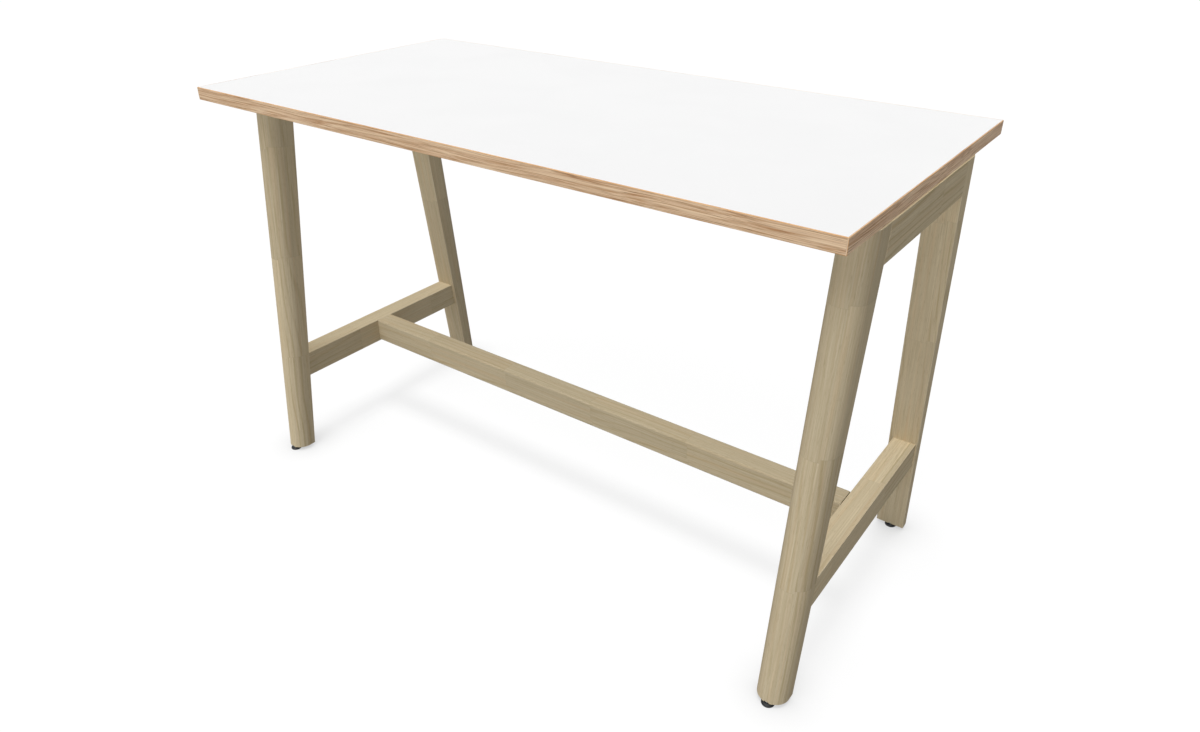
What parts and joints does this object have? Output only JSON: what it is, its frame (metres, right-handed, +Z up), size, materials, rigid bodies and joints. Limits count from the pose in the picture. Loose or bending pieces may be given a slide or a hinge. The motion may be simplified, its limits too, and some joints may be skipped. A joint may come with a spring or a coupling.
{
  "type": "standing meeting table",
  "caption": "Standing-height table: white laminate top with an oak edge on two splayed, tapered wooden end frames tied by a footrest beam, on screw-out levelling feet.",
  "frame": {"origin": "on the floor under the middle of the top", "axes": "+X along the length of the top, +Y to the rear, +Z up"},
  "size_m": [1.4, 0.7, 0.9],
  "materials": {
    "white_laminate": "smooth satin high-pressure laminate",
    "backing_laminate": "plain backing laminate",
    "particle_board": "raw pressed chips",
    "oak_edge_band": "lacquered oak edge band, grain along the edge",
    "ash": "finger-jointed pale ash, matt clear lacquer",
    "beech": "raw beech",
    "black_plastic": "moulded, fine texture",
    "zinc_steel": "bright zinc plated",
    "brass": "turned"
  },
  "bodies": {
    "frame": {"top_core": "particle_board", "top_laminate": "white_laminate", "underside_laminate": "backing_laminate", "edge_band_front": "oak_edge_band", "edge_band_rear": "oak_edge_band", "edge_band_left": "oak_edge_band", "edge_band_right": "oak_edge_band", "leg_front_left": "ash", "leg_front_right": "ash", "leg_rear_left": "ash", "leg_rear_right": "ash", "top_rail_left": "ash", "top_rail_right": "ash", "stretcher_left": "ash", "stretcher_right": "ash", "footrest_beam": "ash", "rail_tenon_front_left": "beech", "rail_tenon_front_right": "beech", "rail_tenon_rear_left": "beech", "rail_tenon_rear_right": "beech", "stretcher_tenon_front_left": "beech", "stretcher_tenon_front_right": "beech", "stretcher_tenon_rear_left": "beech", "stretcher_tenon_rear_right": "beech", "beam_dowel_front_left": "beech", "beam_dowel_front_right": "beech", "beam_dowel_rear_left": "beech", "beam_dowel_rear_right": "beech", "beam_bolt_left": "zinc_steel", "beam_bolt_right": "zinc_steel", "beam_washer_left": "zinc_steel", "beam_washer_right": "zinc_steel", "beam_nut_left": "zinc_steel", "beam_nut_right": "zinc_steel", "top_bolt_front_left": "zinc_steel", "top_bolt_front_right": "zinc_steel", "top_bolt_rear_left": "zinc_steel", "top_bolt_rear_right": "zinc_steel", "top_insert_front_left": "brass", "top_insert_front_right": "brass", "top_insert_rear_left": "brass", "top_insert_rear_right": "brass", "foot_insert_front_left": "brass", "foot_insert_front_right": "brass", "foot_insert_rear_left": "brass", "foot_insert_rear_right": "brass", "top_spacer_front_left": "black_plastic", "top_spacer_front_right": "black_plastic", "top_spacer_rear_left": "black_plastic", "top_spacer_rear_right": "black_plastic"},
    "pad_front_left": {"foot_pad_front_left": "black_plastic"},
    "stud_front_left": {"foot_stud_front_left": "zinc_steel"},
    "pad_front_right": {"foot_pad_front_right": "black_plastic"},
    "stud_front_right": {"foot_stud_front_right": "zinc_steel"},
    "pad_rear_left": {"foot_pad_rear_left": "black_plastic"},
    "stud_rear_left": {"foot_stud_rear_left": "zinc_steel"},
    "pad_rear_right": {"foot_pad_rear_right": "black_plastic"},
    "stud_rear_right": {"foot_stud_rear_right": "zinc_steel"}
  },
  "joints": [
    {"name": "foot_front_left_travel", "type": "slide", "parent": "frame", "child": "pad_front_left", "axis": [0, 0, -1], "range_m": [0, 0.01]},
    {"name": "foot_front_left_turn", "type": "hinge", "parent": "pad_front_left", "child": "stud_front_left", "pos_m": [-0.666, -0.31553, 0.02], "axis": [0, 0, -1], "range_deg": [0, 2880]},
    {"name": "foot_front_right_travel", "type": "slide", "parent": "frame", "child": "pad_front_right", "axis": [0, 0, -1], "range_m": [0, 0.01]},
    {"name": "foot_front_right_turn", "type": "hinge", "parent": "pad_front_right", "child": "stud_front_right", "pos_m": [0.666, -0.31553, 0.02], "axis": [0, 0, -1], "range_deg": [0, 2880]},
    {"name": "foot_rear_left_travel", "type": "slide", "parent": "frame", "child": "pad_rear_left", "axis": [0, 0, -1], "range_m": [0, 0.01]},
    {"name": "foot_rear_left_turn", "type": "hinge", "parent": "pad_rear_left", "child": "stud_rear_left", "pos_m": [-0.666, 0.28893, 0.02], "axis": [0, 0, -1], "range_deg": [0, 2880]},
    {"name": "foot_rear_right_travel", "type": "slide", "parent": "frame", "child": "pad_rear_right", "axis": [0, 0, -1], "range_m": [0, 0.01]},
    {"name": "foot_rear_right_turn", "type": "hinge", "parent": "pad_rear_right", "child": "stud_rear_right", "pos_m": [0.666, 0.28893, 0.02], "axis": [0, 0, -1], "range_deg": [0, 2880]}
  ],
  "couplings": [
    {"joint": "foot_front_left_travel", "follows": "foot_front_left_turn", "m_per_rad": 0.00019894},
    {"joint": "foot_front_right_travel", "follows": "foot_front_right_turn", "m_per_rad": 0.00019894},
    {"joint": "foot_rear_left_travel", "follows": "foot_rear_left_turn", "m_per_rad": 0.00019894},
    {"joint": "foot_rear_right_travel", "follows": "foot_rear_right_turn", "m_per_rad": 0.00019894}
  ]
}
